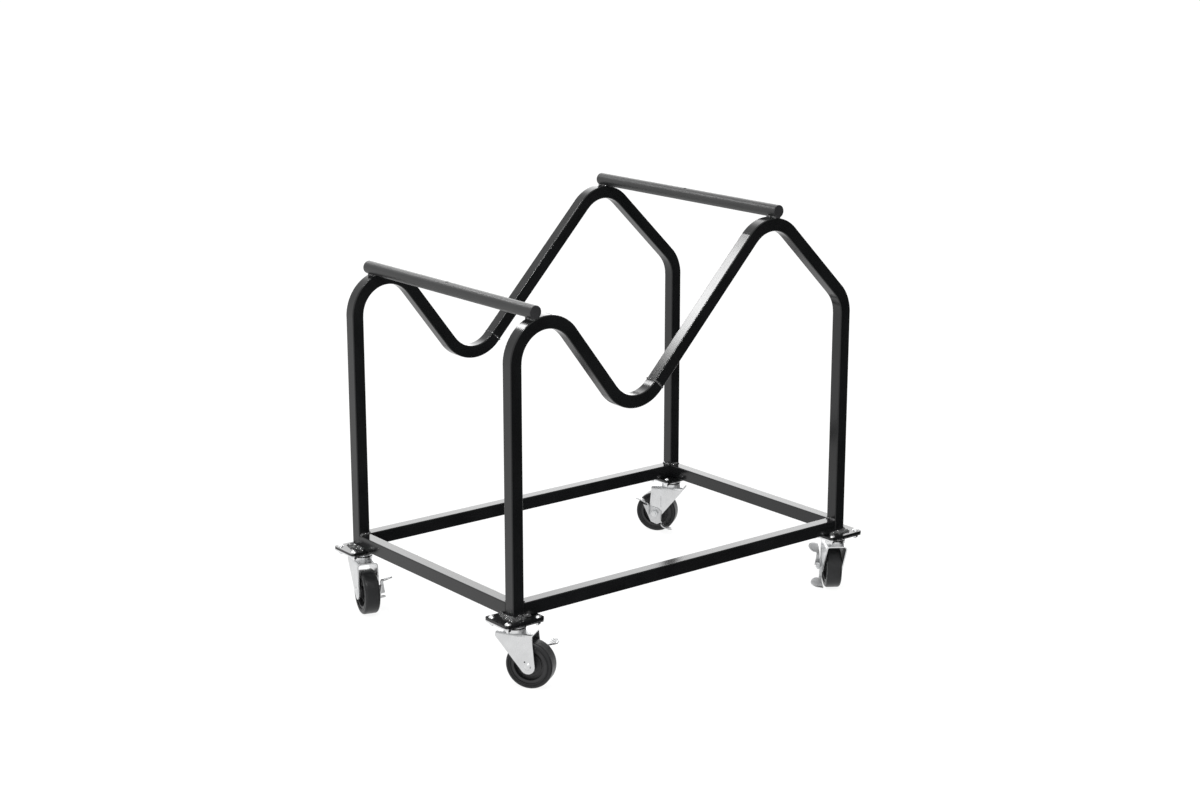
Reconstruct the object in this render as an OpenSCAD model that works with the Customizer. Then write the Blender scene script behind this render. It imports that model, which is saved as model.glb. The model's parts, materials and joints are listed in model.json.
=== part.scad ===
// Stacking chair trolley: two bent side frames of square tube, joined by two round
// cross bars and a base frame of rails, on four braked swivel castors.
// The origin is on the floor under the middle of the base. +X runs along the trolley
// towards its high end, +Y from the front side frame to the rear one, +Z up.

/* [Frame] */
// Length over the outer faces of the legs
frame_length = 840; // [780:1:900]
// Width over the outer faces of the legs
frame_width = 545; // [460:1:640]
// Height of the low hump's crest above the base rails
low_hump_h = 526.5; // [500:0.5:560]
// Height of the high hump's crest above the base rails
high_hump_h = 643.5; // [610:0.5:680]
// Clear height between the valley and the base rails
valley_h = 323.5; // [290:0.5:350]
// Distance of the valley from the low end's outer faces
valley_in = 288; // [275:1:310]
// Distance of the high hump from the high end's outer faces
high_hump_in = 214; // [190:1:240]
// Height above the base rails at which the high end's legs start to bend
shoulder_h = 431; // [400:1:460]

/* [Square tube] */
// Side of the square tube
tube_w = 25; // [22:0.5:28]
// Wall of the square tube
tube_wall = 1.5; // [1.2:0.1:1.7]
// Outer corner radius of the square tube
tube_corner_r = 2; // [1.9:0.1:3]
// Height of the base rails, which are as wide as the square tube
rail_h = 27; // [25:0.5:30]
// Bend radius at the middle of the tube
bend_r = 70; // [62:1:74]

/* [Cross bars] */
// Diameter of the cross bars
bar_d = 25; // [20:0.5:30]
// Wall of the cross bars
bar_wall = 2; // [1.5:0.1:3]
// How far the ends of the cross bars stand out past the side frames
bar_over = 1; // [0:0.5:20]
// Lean of the low bar from its hump's crest towards the low end, in degrees
low_bar_lean = 16.5; // [5:0.5:25]
// Lean of the high bar from its hump's crest towards the high end, in degrees
high_bar_lean = 7; // [0:0.5:20]
// Diameter of the hole drilled in the top of each bar
bar_hole_d = 8; // [4:0.5:10]
// Thickness of the end caps' rims
cap_t = 2; // [1:0.5:4]
// Edge radius of the end caps' rims
cap_edge_r = 0.8; // [0.2:0.1:0.9]
// Depth of the end caps' plugs
cap_plug = 12; // [6:1:20]

/* [Corner plates] */
// Size of the corner plates along the trolley
plate_len = 87; // [80:1:105]
// Size of the corner plates across the trolley
plate_wid = 70; // [64:1:85]
// Thickness of the corner plates
plate_t = 5; // [3:0.5:8]
// Corner radius of the corner plates
plate_corner_r = 6; // [2:0.5:8]
// Bolt spacing along the trolley
bolt_pitch_x = 67; // [62:1:72]
// Bolt spacing across the trolley
bolt_pitch_y = 50; // [48:1:54]

/* [Fasteners] */
// Diameter of the plate bolts
bolt_d = 6; // [5:0.5:6.5]
// Diameter of the plate bolts' domed heads
bolt_head_d = 12.5; // [10:0.5:13]
// Height of the plate bolts' domed heads
bolt_head_h = 3.5; // [2.5:0.1:5]
// Size of the plate nuts across their flats
nut_af = 10; // [9:0.5:11]
// Height of the plate nuts
nut_h = 5; // [4:0.5:6]

/* [Castor] */
// Height from the floor to the top of the castor plate
castor_height = 126; // [122:0.5:140]
// Thickness of the castor plate
castor_plate_t = 3; // [2.5:0.1:4]
// Diameter of the swivel races
race_d = 42; // [38:0.5:44]
// Diameter of the swivel balls
ball_d = 5; // [4:0.5:6]
// Diameter of the kingpin
kingpin_d = 10; // [8:0.5:12]
// Distance from the kingpin's axis back to the axle
trail = 31; // [26:0.5:36]

/* [Wheel] */
// Diameter of the wheel
wheel_d = 90; // [80:1:94]
// Width of the tyre
wheel_w = 31; // [24:0.5:33]
// Thickness of the tyre
tyre_t = 10; // [6:0.5:14]
// Edge radius of the tyre
tyre_edge_r = 5; // [2:0.5:6]
// Diameter of the axle
axle_d = 8; // [6:0.5:10]

/* [Fork] */
// Sheet thickness of the fork
fork_sheet = 2.5; // [2:0.1:3.5]
// Clear width between the fork's legs
fork_gap = 38; // [36:0.5:44]
// Outer bend radius between the crown and the legs
fork_bend_r = 7; // [5:0.5:9]
// Reach of the crown in front of the kingpin's axis
fork_lead = 31; // [27:0.5:36]
// Reach of the crown behind the kingpin's axis
fork_tail = 40; // [34:0.5:44]
// Radius of the rounded leg ends round the axle
fork_end_r = 14; // [12:0.5:17]

/* [Brake lever] */
// Sheet thickness of the brake lever
lever_t = 2; // [1.5:0.1:3]
// Radius of the lever's eye round the axle
lever_eye_r = 13; // [11:0.5:15]
// Width of each pedal, outwards from the fork
pedal_w = 24; // [18:0.5:30]
// Radius of each pedal's curve
pedal_r = 21; // [16:0.5:25]
// Length of each pedal's straight end
pedal_end = 15; // [12:0.5:18]
// Rise of the pedals outwards from the fork, in degrees
pedal_rise = 10; // [0:1:20]

/* [Castor headings] */
// Heading of the front left castor's trail, in degrees from +X
front_left_heading = -56; // [-180:1:180]
// Heading of the front right castor's trail, in degrees from +X
front_right_heading = 55; // [-180:1:180]
// Heading of the rear left castor's trail, in degrees from +X
rear_left_heading = -106; // [-180:1:180]
// Heading of the rear right castor's trail, in degrees from +X
rear_right_heading = 126; // [-180:1:180]

/* [Hidden] */
$fn = 64;
// How far each cut runs past the faces it cuts
overrun = 1;
// Radial clearance of a turning fit
running_gap = 0.05;
// Clearance between pieces that face each other and turn
side_gap = 0.3;
// Radial clearance between pieces that are pushed together
push_gap = 0.04;
// Radial clearance of a bolt in its hole
bolt_gap = 0.3;
// Gap between two pieces that a weld bead joins
weld_gap = 0.2;

// Levels and places of the frame
half_tube = tube_w / 2;
leg_x = frame_length / 2 - half_tube;
side_y = frame_width / 2 - half_tube;
plate_top_z = castor_height + plate_t;
rail_z = plate_top_z + rail_h / 2;
rail_top_z = plate_top_z + rail_h;

// The wall swells a little on each face in a bend, and the straight lengths run into it
bend_swell = 0.15;
bend_let_in = 2.5;
// Straight length between the valley's bend and the butt joint
butt_run = 6;

// Centres of the four bends, as x and height in the side frame's plane
low_c = [-leg_x + bend_r, rail_top_z + low_hump_h - half_tube - bend_r];
valley_c = [valley_in - frame_length / 2, rail_top_z + valley_h + half_tube + bend_r];
high_c = [frame_length / 2 - high_hump_in, rail_top_z + high_hump_h - half_tube - bend_r];
shoulder_c = [leg_x - bend_r, rail_top_z + shoulder_h];

function bearing(from, to) = atan2(to[1] - from[1], to[0] - from[0]);
function crossing(from, to) = asin(2 * bend_r / norm(to - from));
function left_of(heading) = [-sin(heading), cos(heading)];
function on_circle(centre, r, a) = centre + r * [cos(a), sin(a)];
// Where the tube's middle line leaves a bend that it passes over or under
function over(centre, heading) = centre + bend_r * left_of(heading);
function under(centre, heading) = centre - bend_r * left_of(heading);

// Headings of the three slopes, which touch the bends on both sides
down_a = bearing(low_c, valley_c) - crossing(low_c, valley_c);
up_a = bearing(valley_c, high_c) + crossing(valley_c, high_c);
fall_a = bearing(high_c, shoulder_c);
butt_joint = under(valley_c, up_a) + butt_run * [cos(up_a), sin(up_a)];

// Cross bars
bar_r = bar_d / 2;
bar_len = frame_width + 2 * bar_over - 2 * cap_t;
hump_r = bend_r + half_tube + bend_swell;
function on_hump(centre, lean, reach) = centre + reach * [sin(lean), cos(lean)];
low_bar_c = on_hump(low_c, -low_bar_lean, hump_r + weld_gap + bar_r);
high_bar_c = on_hump(high_c, high_bar_lean, hump_r + weld_gap + bar_r);

// Weld beads
foot_bead_r = 5;
foot_bead_run = 14;
rail_bead_r = 4;
bar_bead_r = 3.6;
bar_bead_lean = 5;
butt_bead_w = 4;
butt_bead_proud = 0.7;

// Levels of the castor, from the floor
axle_z = wheel_d / 2;
castor_plate_z = castor_height - castor_plate_t;
upper_race_h = 8.5;
lower_race_h = 6.5;
race_gap = 2;
race_flare = 2;
upper_race_z = castor_plate_z - upper_race_h;
lower_race_z = upper_race_z - race_gap;
crown_z = lower_race_z - lower_race_h;
crown_under_z = crown_z - fork_sheet;
ball_z = upper_race_z - race_gap / 2;
ball_count = 14;
ball_gap = 0.1;
ball_pitch_r = race_d / 2 - ball_d;

// Kingpin heads
kingpin_head_rim = 4;
kingpin_head_d = kingpin_d + 2 * kingpin_head_rim;
kingpin_head_h = 4;
kingpin_top_rim = 2;
kingpin_top_d = kingpin_d + 2 * kingpin_top_rim;
kingpin_top_h = 1.5;

// Bolts
bolt_end = 3;
bolt_len = plate_t + castor_plate_t + nut_h + bolt_end;

// Wheel
wheel_r = wheel_d / 2;
rim_r = wheel_r - tyre_t;
rim_t = 6;
rim_inset = 2;
rim_w = wheel_w - 2 * rim_inset;
web_w = 10;
hub_ring_t = 3;
hub_ring_proud = 1.5;
boss_t = 6;
bush_t = 2;
bush_len = fork_gap - 2 * side_gap;
bush_r = axle_d / 2 + running_gap + bush_t;
boss_r = bush_r + boss_t;
boss_w = bush_len - 2 * side_gap;
tyre_groove_share = 0.3;
tyre_groove_r = 1.2;

// Axle, its nut and the places across the fork
fork_side = fork_gap / 2 + fork_sheet;
lever_y = fork_side + side_gap;
axle_nut_y = lever_y + lever_t + side_gap;
axle_nut_h = 6.4;
axle_nut_wall = 2.4;
axle_nut_af = axle_d + 2 * axle_nut_wall;
axle_end = 2;
axle_head_rim = 2.8;
axle_head_d = axle_d + 2 * axle_head_rim;
axle_head_h = 3.2;

// Small features of the fork
fork_hole_d = 3;
fork_hole_up = 9;
fork_hole_lean = 30;
fork_crease_r = 1.5;
fork_crease_depth = 0.7;
fork_crease_x = trail - fork_end_r;

// Brake lever, round the axle: x backwards, y up. Its flat body runs from the arm's tip
// at the back to a heel and a toe below the axle
arm_tip_x = 27;
arm_tip_y = 18;
heel_x = 9;
heel_y = 21;
toe_x = 5;
toe_y = 26;
pedal_turn = 75;
pedal_root_y = 10;
pedal_root = [lever_eye_r, pedal_root_y];
// Straight foot by which each pedal's strip stands on the body, and the foot's width outwards
pedal_foot = 14;
pedal_neck_w = 7;
pedal_neck_share = 0.4;
pedal_leaf_share = 0.36;
// Straight lengths are thinner than the curve by a set-back on each face, and run into it
pedal_set_back = 0.15;
pedal_let_in = 2;
// Pressed ridges across the strip, and how much of the curve is left plain
ridge_proud = 0.5;
ridge_pitch = 3.2;
ridge_plain_a = 25;
pedal_curve_c = pedal_root + [pedal_r, 0];
pedal_curve_end_a = 180 - pedal_turn;
pedal_tip_a = 90 - pedal_turn;
pedal_curve_end = on_circle(pedal_curve_c, pedal_r, pedal_curve_end_a);
pedal_tip_way = [cos(pedal_tip_a), sin(pedal_tip_a)];
pedal_tip = pedal_curve_end + pedal_end * pedal_tip_way;
pedal_span = norm(pedal_tip - pedal_root);
pedal_span_a = bearing(pedal_root, pedal_tip);
pedal_in = (pedal_span + pedal_foot) * sin(pedal_rise);
// Places of the ridges: along the straight end, and back round the curve
ridge_step_a = ridge_pitch / pedal_r * 180 / PI;
end_ridges = [
    for (reach = [ridge_pitch : ridge_pitch : pedal_end - ridge_pitch])
        pedal_curve_end + reach * pedal_tip_way
];
curve_ridges = [
    for (a = [0 : ridge_step_a : pedal_turn - ridge_plain_a])
        on_circle(pedal_curve_c, pedal_r, pedal_curve_end_a + a)
];

// Corners of the trolley, in one order
CORNERS = ["front_left", "front_right", "rear_left", "rear_right"];
corner_x = [-leg_x, leg_x, -leg_x, leg_x];
corner_y = [-side_y, -side_y, side_y, side_y];
headings = [front_left_heading, front_right_heading, rear_left_heading, rear_right_heading];

black_coat = "#1a1b1d";
zinc = "#cdd0d3";
bright_steel = "#dfe1e3";
black_plastic = "#1d1e20";
tyre_rubber = "#3a3c3f";

FRAME_NODES = [
    "front_low_tube", "front_high_tube", "rear_low_tube", "rear_high_tube",
    "front_rail", "rear_rail", "low_end_rail", "high_end_rail",
    "low_cross_bar", "high_cross_bar", "cross_bar_caps",
    "weld_beads", "plate_bolts", "plate_nuts",
];
CASTOR_PIECES = [
    "corner_plate", "castor_plate", "kingpin", "swivel_balls", "fork",
    "axle_bolt", "axle_nut", "tyre", "hub", "axle_bush", "brake_lever",
];

// Shared outlines

module rounded_rect(size_x, size_y, r) {
    square([size_x - 2 * r, size_y], center = true);
    square([size_x, size_y - 2 * r], center = true);
    for (x = [-1, 1], y = [-1, 1])
        translate([x * (size_x / 2 - r), y * (size_y / 2 - r)]) circle(r = r);
}

module tube_outline() {
    rounded_rect(tube_w, tube_w, tube_corner_r);
}

// Section of a tube of a size, with its wall thickened on both faces by the swell
module tube_profile(size_x, size_y, swell) {
    inward = 2 * tube_wall + 2 * swell;
    difference() {
        rounded_rect(size_x + 2 * swell, size_y + 2 * swell, tube_corner_r + swell);
        rounded_rect(size_x - inward, size_y - inward, tube_corner_r - tube_wall - swell);
    }
}

module ring(outer_r, inner_r, width) {
    difference() {
        cylinder(r = outer_r, h = width, center = true);
        cylinder(r = inner_r, h = width + 2 * overrun, center = true);
    }
}

module hex_nut(across, height, bore_d) {
    difference() {
        cylinder(d = across / cos(30), h = height, $fn = 6);
        translate([0, 0, -overrun]) cylinder(d = bore_d, h = height + 2 * overrun);
    }
}

// A low dome on a flat base
module domed_head(d, h) {
    dome_r = (d * d / 4 + h * h) / (2 * h);
    intersection() {
        translate([0, 0, h - dome_r]) sphere(r = dome_r);
        cylinder(d = d, h = h);
    }
}

// Placing

// Stands a drawing of x and height up in a side frame's plane
module in_side_plane(side) {
    translate([0, side * side_y, 0]) rotate([90, 0, 0]) children();
}

module at_corner(i) {
    translate([corner_x[i], corner_y[i], 0]) children();
}

// The castor's own frame: kingpin at its origin, trail along x, brake on its left
module on_castor(i) {
    at_corner(i) rotate([0, 0, headings[i]]) children();
}

module on_axle(i) {
    on_castor(i) translate([trail, 0, axle_z]) children();
}

// Turns a piece's z to the left across the fork, and its y up
module across_fork() {
    rotate([90, 0, 180]) mirror([1, 0, 0]) children();
}

module at_bolts() {
    for (x = [-1, 1], y = [-1, 1])
        translate([x * bolt_pitch_x / 2, y * bolt_pitch_y / 2, 0]) children();
}

// Frame

// Straight length of tube, run on into the bends at its ends
module tube_run(from, to, into_from, into_to) {
    translate([from[0], from[1], 0]) rotate([0, 0, bearing(from, to)]) rotate([0, 90, 0])
        translate([0, 0, -into_from]) linear_extrude(height = norm(to - from) + into_from + into_to)
            tube_profile(tube_w, tube_w, 0);
}

module tube_bend(centre, start, sweep) {
    translate([centre[0], centre[1], 0]) rotate([0, 0, start])
        rotate_extrude(angle = sweep) translate([bend_r, 0]) tube_profile(tube_w, tube_w, bend_swell);
}

// Low end's leg, hump, slope and valley, bent from one length
module low_tube(side) {
    color(black_coat) in_side_plane(side) {
        tube_run([-leg_x, plate_top_z], over(low_c, 90), 0, bend_let_in);
        tube_bend(low_c, down_a + 90, 90 - down_a);
        tube_run(over(low_c, down_a), under(valley_c, down_a), bend_let_in, bend_let_in);
        tube_bend(valley_c, down_a - 90, up_a - down_a);
        tube_run(under(valley_c, up_a), butt_joint, bend_let_in, 0);
    }
}

// Rising slope, high hump, shoulder and leg, bent from one length
module high_tube(side) {
    color(black_coat) in_side_plane(side) {
        tube_run(butt_joint, over(high_c, up_a), -weld_gap, bend_let_in);
        tube_bend(high_c, fall_a + 90, up_a - fall_a);
        tube_run(over(high_c, fall_a), over(shoulder_c, fall_a), bend_let_in, bend_let_in);
        tube_bend(shoulder_c, 0, fall_a + 90);
        tube_run(over(shoulder_c, -90), [leg_x, plate_top_z], bend_let_in, 0);
    }
}

module long_rail(side) {
    reach = leg_x - half_tube;
    color(black_coat) translate([-reach, side * side_y, rail_z]) rotate([0, 90, 0])
        linear_extrude(height = 2 * reach) tube_profile(rail_h, tube_w, 0);
}

module end_rail(end) {
    reach = side_y - half_tube;
    color(black_coat) translate([end * leg_x, reach, rail_z]) rotate([90, 0, 0])
        linear_extrude(height = 2 * reach) tube_profile(tube_w, rail_h, 0);
}

module cross_bar(place) {
    color(black_coat) translate([place[0], 0, place[1]]) difference() {
        rotate([90, 0, 0]) ring(bar_r, bar_r - bar_wall, bar_len);
        cylinder(d = bar_hole_d, h = bar_d);
    }
}

// Half of a cap's section: a plug, and a rim with a rounded edge
module cap_section() {
    flat_r = bar_r - cap_edge_r;
    translate([0, -cap_plug]) square([bar_r - bar_wall - push_gap, cap_plug + cap_t]);
    square([flat_r, cap_t]);
    square([bar_r, cap_t - cap_edge_r]);
    translate([flat_r, cap_t - cap_edge_r]) circle(r = cap_edge_r);
}

module cross_bar_caps() {
    color(black_plastic)
        for (place = [low_bar_c, high_bar_c], side = [-1, 1])
            translate([place[0], side * bar_len / 2, place[1]]) rotate([-90 * side, 0, 0])
                rotate_extrude() cap_section();
}

// Weld beads

// Bead round the foot of a leg and along the outer sides of its rails
module foot_bead(i) {
    out_x = sign(corner_x[i]);
    out_y = sign(corner_y[i]);
    reach = tube_w + foot_bead_run;
    at_corner(i) translate([0, 0, plate_top_z]) difference() {
        translate([out_x * half_tube, out_y * half_tube, 0]) {
            sphere(r = foot_bead_r);
            rotate([0, -90 * out_x, 0]) cylinder(r = foot_bead_r, h = reach);
            rotate([90 * out_y, 0, 0]) cylinder(r = foot_bead_r, h = reach);
        }
        translate([0, 0, -2 * foot_bead_r]) linear_extrude(height = 4 * foot_bead_r) tube_outline();
        translate([-out_x * reach / 2, 0, half_tube]) cube([reach, tube_w, tube_w], center = true);
        translate([0, -out_y * reach / 2, half_tube]) cube([tube_w, reach, tube_w], center = true);
        translate([0, 0, -reach]) cube(2 * reach, center = true);
    }
}

// Bead across the top of a rail's end, against the leg
module rail_bead(run_x, run_y, out) {
    flat_w = tube_w - 2 * tube_corner_r;
    translate([run_x * half_tube, run_y * half_tube, rail_top_z]) rotate([0, 0, out]) intersection() {
        rotate([90, 0, 0]) cylinder(r = rail_bead_r, h = flat_w, center = true);
        translate([0, -flat_w / 2, 0]) cube([rail_bead_r, flat_w, rail_bead_r]);
    }
}

// Beads on both sides of a cross bar's seat on its hump
module bar_beads(hump_c, bar_c, lean) {
    flat_w = tube_w - 2 * tube_corner_r;
    for (side = [-1, 1], way = [-1, 1]) {
        bead_c = on_hump(hump_c, lean + way * bar_bead_lean, hump_r + weld_gap + bar_bead_r / 2);
        in_side_plane(side) difference() {
            translate([bead_c[0], bead_c[1], 0]) cylinder(r = bar_bead_r, h = flat_w, center = true);
            translate([bar_c[0], bar_c[1], 0]) cylinder(r = bar_r, h = tube_w, center = true);
            translate([hump_c[0], hump_c[1], 0]) cylinder(r = hump_r, h = tube_w, center = true);
        }
    }
}

// Bead round the butt joint between the two bent lengths of a side frame, on the lower one's end
module butt_bead(side) {
    bead_w = tube_w + 2 * butt_bead_proud;
    in_side_plane(side) translate([butt_joint[0], butt_joint[1], 0]) rotate([0, 0, up_a])
        rotate([0, 90, 0]) translate([0, 0, -butt_bead_w]) linear_extrude(height = butt_bead_w) difference() {
            rounded_rect(bead_w, bead_w, tube_corner_r + butt_bead_proud);
            tube_outline();
        }
}

module weld_beads() {
    color(black_coat) {
        for (i = [0 : 3]) {
            foot_bead(i);
            at_corner(i) rail_bead(-sign(corner_x[i]), 0, corner_x[i] < 0 ? 0 : 180);
            at_corner(i) rail_bead(0, -sign(corner_y[i]), corner_y[i] < 0 ? 90 : -90);
        }
        bar_beads(low_c, low_bar_c, -low_bar_lean);
        bar_beads(high_c, high_bar_c, high_bar_lean);
        butt_bead(-1);
        butt_bead(1);
    }
}

// Corner plates and their fasteners

module bolted_plate(thickness) {
    difference() {
        linear_extrude(height = thickness) rounded_rect(plate_len, plate_wid, plate_corner_r);
        at_bolts() translate([0, 0, -overrun])
            cylinder(d = bolt_d + 2 * bolt_gap, h = thickness + 2 * overrun);
    }
}

module corner_plate(i) {
    color(black_coat) at_corner(i) translate([0, 0, castor_height]) bolted_plate(plate_t);
}

module plate_bolts() {
    color(bright_steel) for (i = [0 : 3]) at_corner(i) at_bolts() translate([0, 0, plate_top_z]) {
        domed_head(bolt_head_d, bolt_head_h);
        translate([0, 0, -bolt_len]) cylinder(d = bolt_d, h = bolt_len);
    }
}

module plate_nuts() {
    color(bright_steel) for (i = [0 : 3]) at_corner(i) at_bolts() translate([0, 0, castor_plate_z - nut_h])
        hex_nut(nut_af, nut_h, bolt_d + 2 * push_gap);
}

// Castors

module ball_groove() {
    rotate_extrude() translate([ball_pitch_r, ball_z]) circle(r = ball_d / 2 + ball_gap);
}

// Plate with the upper race pressed out below it
module castor_plate(i) {
    color(zinc) at_corner(i) difference() {
        union() {
            translate([0, 0, castor_plate_z]) bolted_plate(castor_plate_t);
            translate([0, 0, upper_race_z])
                cylinder(d1 = race_d, d2 = race_d + 2 * race_flare, h = upper_race_h);
        }
        ball_groove();
        translate([0, 0, upper_race_z - overrun])
            cylinder(d = kingpin_d + 2 * push_gap, h = upper_race_h + castor_plate_t + 2 * overrun);
        translate([0, 0, castor_height - kingpin_top_h])
            cylinder(d = kingpin_top_d + 2 * push_gap, h = kingpin_top_h + overrun);
    }
}

// Rivet held in the castor plate, on which the fork turns
module kingpin(i) {
    shank_z = crown_under_z - side_gap;
    color(zinc) at_corner(i) {
        translate([0, 0, shank_z]) cylinder(d = kingpin_d, h = castor_height - shank_z);
        translate([0, 0, castor_height - kingpin_top_h]) cylinder(d = kingpin_top_d, h = kingpin_top_h);
        translate([0, 0, shank_z]) rotate([180, 0, 0]) domed_head(kingpin_head_d, kingpin_head_h);
    }
}

module swivel_balls(i) {
    color(bright_steel) at_corner(i) for (k = [0 : ball_count - 1])
        rotate([0, 0, 360 * k / ball_count]) translate([ball_pitch_r, 0, ball_z]) sphere(d = ball_d);
}

// The fork's bent sheet, seen along the trail
module fork_section() {
    fork_w = 2 * fork_side;
    bend_in_r = fork_bend_r - fork_sheet;
    difference() {
        union() {
            translate([-fork_w / 2, 0]) square([fork_w, crown_z - fork_bend_r]);
            translate([fork_bend_r - fork_w / 2, 0]) square([fork_w - 2 * fork_bend_r, crown_z]);
            for (side = [-1, 1])
                translate([side * (fork_w / 2 - fork_bend_r), crown_z - fork_bend_r]) circle(r = fork_bend_r);
        }
        translate([-fork_gap / 2, -overrun]) square([fork_gap, crown_z - fork_bend_r + overrun]);
        translate([bend_in_r - fork_gap / 2, -overrun])
            square([fork_gap - 2 * bend_in_r, crown_under_z + overrun]);
        for (side = [-1, 1])
            translate([side * (fork_gap / 2 - bend_in_r), crown_z - fork_bend_r]) circle(r = bend_in_r);
    }
}

// Where a line from a point meets the leg's rounded end, on the side given
function end_tangent(from, way) =
    let (eye = [trail, axle_z], turn = acos(fork_end_r / norm(from - eye)))
    eye + fork_end_r * [cos(bearing(eye, from) + way * turn), sin(bearing(eye, from) + way * turn)];

// The fork seen from its side: a near upright back edge and a slanted front edge
module fork_outline() {
    front = [-fork_lead, crown_z - fork_bend_r];
    back = [fork_tail, crown_z - fork_bend_r];
    polygon([
        [-fork_lead, crown_z], front, end_tangent(front, 1),
        end_tangent(back, -1), back, [fork_tail, crown_z],
    ]);
    translate([trail, axle_z]) circle(r = fork_end_r);
}

module fork(i) {
    fork_len = fork_lead + fork_tail + fork_end_r;
    color(zinc) on_castor(i) difference() {
        union() {
            intersection() {
                translate([-fork_lead, 0, 0]) rotate([90, 0, 90])
                    linear_extrude(height = fork_len) fork_section();
                rotate([90, 0, 0]) linear_extrude(height = 2 * fork_side, center = true) fork_outline();
            }
            translate([0, 0, crown_z]) cylinder(d = race_d, h = lower_race_h);
        }
        ball_groove();
        translate([0, 0, crown_under_z - overrun])
            cylinder(d = kingpin_d + 2 * running_gap, h = fork_sheet + lower_race_h + 2 * overrun);
        translate([trail, 0, axle_z]) rotate([90, 0, 0])
            cylinder(d = axle_d + 2 * push_gap, h = 2 * (fork_side + overrun), center = true);
        translate([trail - fork_hole_up * tan(fork_hole_lean), 0, axle_z + fork_hole_up]) rotate([90, 0, 0])
            cylinder(d = fork_hole_d, h = fork_side + overrun);
        translate([fork_crease_x, fork_side + fork_crease_r - fork_crease_depth, axle_z + fork_end_r])
            cylinder(r = fork_crease_r, h = crown_z - fork_bend_r - axle_z - 2 * fork_end_r);
    }
}

module axle_bolt(i) {
    shank_len = fork_side + axle_nut_y + axle_nut_h + axle_end;
    color(zinc) on_axle(i) across_fork() {
        translate([0, 0, -fork_side]) cylinder(d = axle_d, h = shank_len);
        translate([0, 0, -fork_side]) rotate([180, 0, 0]) domed_head(axle_head_d, axle_head_h);
    }
}

module axle_nut(i) {
    color(zinc) on_axle(i) across_fork() translate([0, 0, axle_nut_y])
        hex_nut(axle_nut_af, axle_nut_h, axle_d + 2 * push_gap);
}

// Half of the tyre's section is drawn on each side of the wheel's middle
module tyre_section() {
    shoulder_r = wheel_r - tyre_edge_r;
    bead_r = rim_r + push_gap;
    difference() {
        union() {
            translate([bead_r, -wheel_w / 2]) square([shoulder_r - bead_r, wheel_w]);
            translate([bead_r, tyre_edge_r - wheel_w / 2])
                square([wheel_r - bead_r, wheel_w - 2 * tyre_edge_r]);
            for (side = [-1, 1])
                translate([shoulder_r, side * (wheel_w / 2 - tyre_edge_r)]) circle(r = tyre_edge_r);
        }
        for (side = [-1, 1])
            translate([rim_r + tyre_groove_share * tyre_t, side * wheel_w / 2]) circle(r = tyre_groove_r);
    }
}

module tyre(i) {
    color(tyre_rubber) on_axle(i) across_fork() rotate_extrude() tyre_section();
}

// Moulded wheel centre: rim, web with a raised ring on each face, and boss
module hub(i) {
    bore_r = bush_r + push_gap;
    ring_r = (rim_r - rim_t + boss_r) / 2;
    color(black_plastic) on_axle(i) across_fork() {
        ring(rim_r, rim_r - rim_t, rim_w);
        ring(rim_r - rim_t, boss_r, web_w);
        ring(ring_r + hub_ring_t / 2, ring_r - hub_ring_t / 2, web_w + 2 * hub_ring_proud);
        ring(boss_r, bore_r, boss_w);
    }
}

module axle_bush(i) {
    color(zinc) on_axle(i) across_fork() ring(bush_r, axle_d / 2 + running_gap, bush_len);
}

// Curved and ridged strip of one pedal, before its outline is cut
module pedal_sheet(width) {
    straight_t = lever_t - 2 * pedal_set_back;
    translate([pedal_curve_c[0], pedal_curve_c[1], 0]) rotate([0, 0, pedal_curve_end_a])
        rotate_extrude(angle = pedal_turn) translate([pedal_r - lever_t / 2, 0]) square([lever_t, width]);
    translate([pedal_curve_end[0], pedal_curve_end[1], 0]) rotate([0, 0, pedal_tip_a])
        translate([-pedal_let_in, -straight_t / 2, 0]) cube([pedal_end + pedal_let_in, straight_t, width]);
    translate([pedal_root[0] - straight_t / 2, pedal_root[1] - pedal_foot, 0])
        cube([straight_t, pedal_foot + pedal_let_in, width]);
    for (place = concat(end_ridges, curve_ridges))
        translate([place[0], place[1], 0]) cylinder(r = lever_t / 2 + ridge_proud, h = width);
}

// Outline of a pedal, along its span and outwards: a narrow neck and a rounded leaf
module pedal_outline() {
    leaf_r = pedal_leaf_share * pedal_span;
    leaf_c = pedal_span - leaf_r;
    translate([leaf_c, pedal_w - leaf_r]) circle(r = leaf_r);
    translate([leaf_c - leaf_r, -pedal_in]) square([2 * leaf_r, pedal_in + pedal_w - leaf_r]);
    translate([-pedal_foot, -pedal_in])
        square([pedal_foot + pedal_neck_share * pedal_span, pedal_in + pedal_neck_w]);
}

// One pedal, drawn from inside the body outwards
module pedal() {
    intersection() {
        translate([0, 0, -pedal_in]) pedal_sheet(pedal_in + pedal_w + overrun);
        translate([pedal_root[0], pedal_root[1], 0]) rotate([0, 0, pedal_span_a]) rotate([90, 0, 0])
            linear_extrude(height = 2 * pedal_r, center = true) pedal_outline();
    }
}

// Tilts a pedal at the height given, so that it rises outwards
module rising(height) {
    translate([0, height, 0]) rotate([-pedal_rise, 0, 0]) translate([0, -height, 0]) children();
}

// Flat body round the axle, with the arm at the back and the heel and toe below
module lever_body() {
    front_x = -lever_eye_r - lever_t;
    linear_extrude(height = lever_t) {
        circle(r = lever_eye_r);
        polygon([
            [0, lever_eye_r], [front_x, pedal_foot - pedal_root_y], [front_x, -heel_y],
            [-toe_x, -toe_y], [heel_x, -heel_y], [arm_tip_x, arm_tip_y],
        ]);
    }
}

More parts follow.
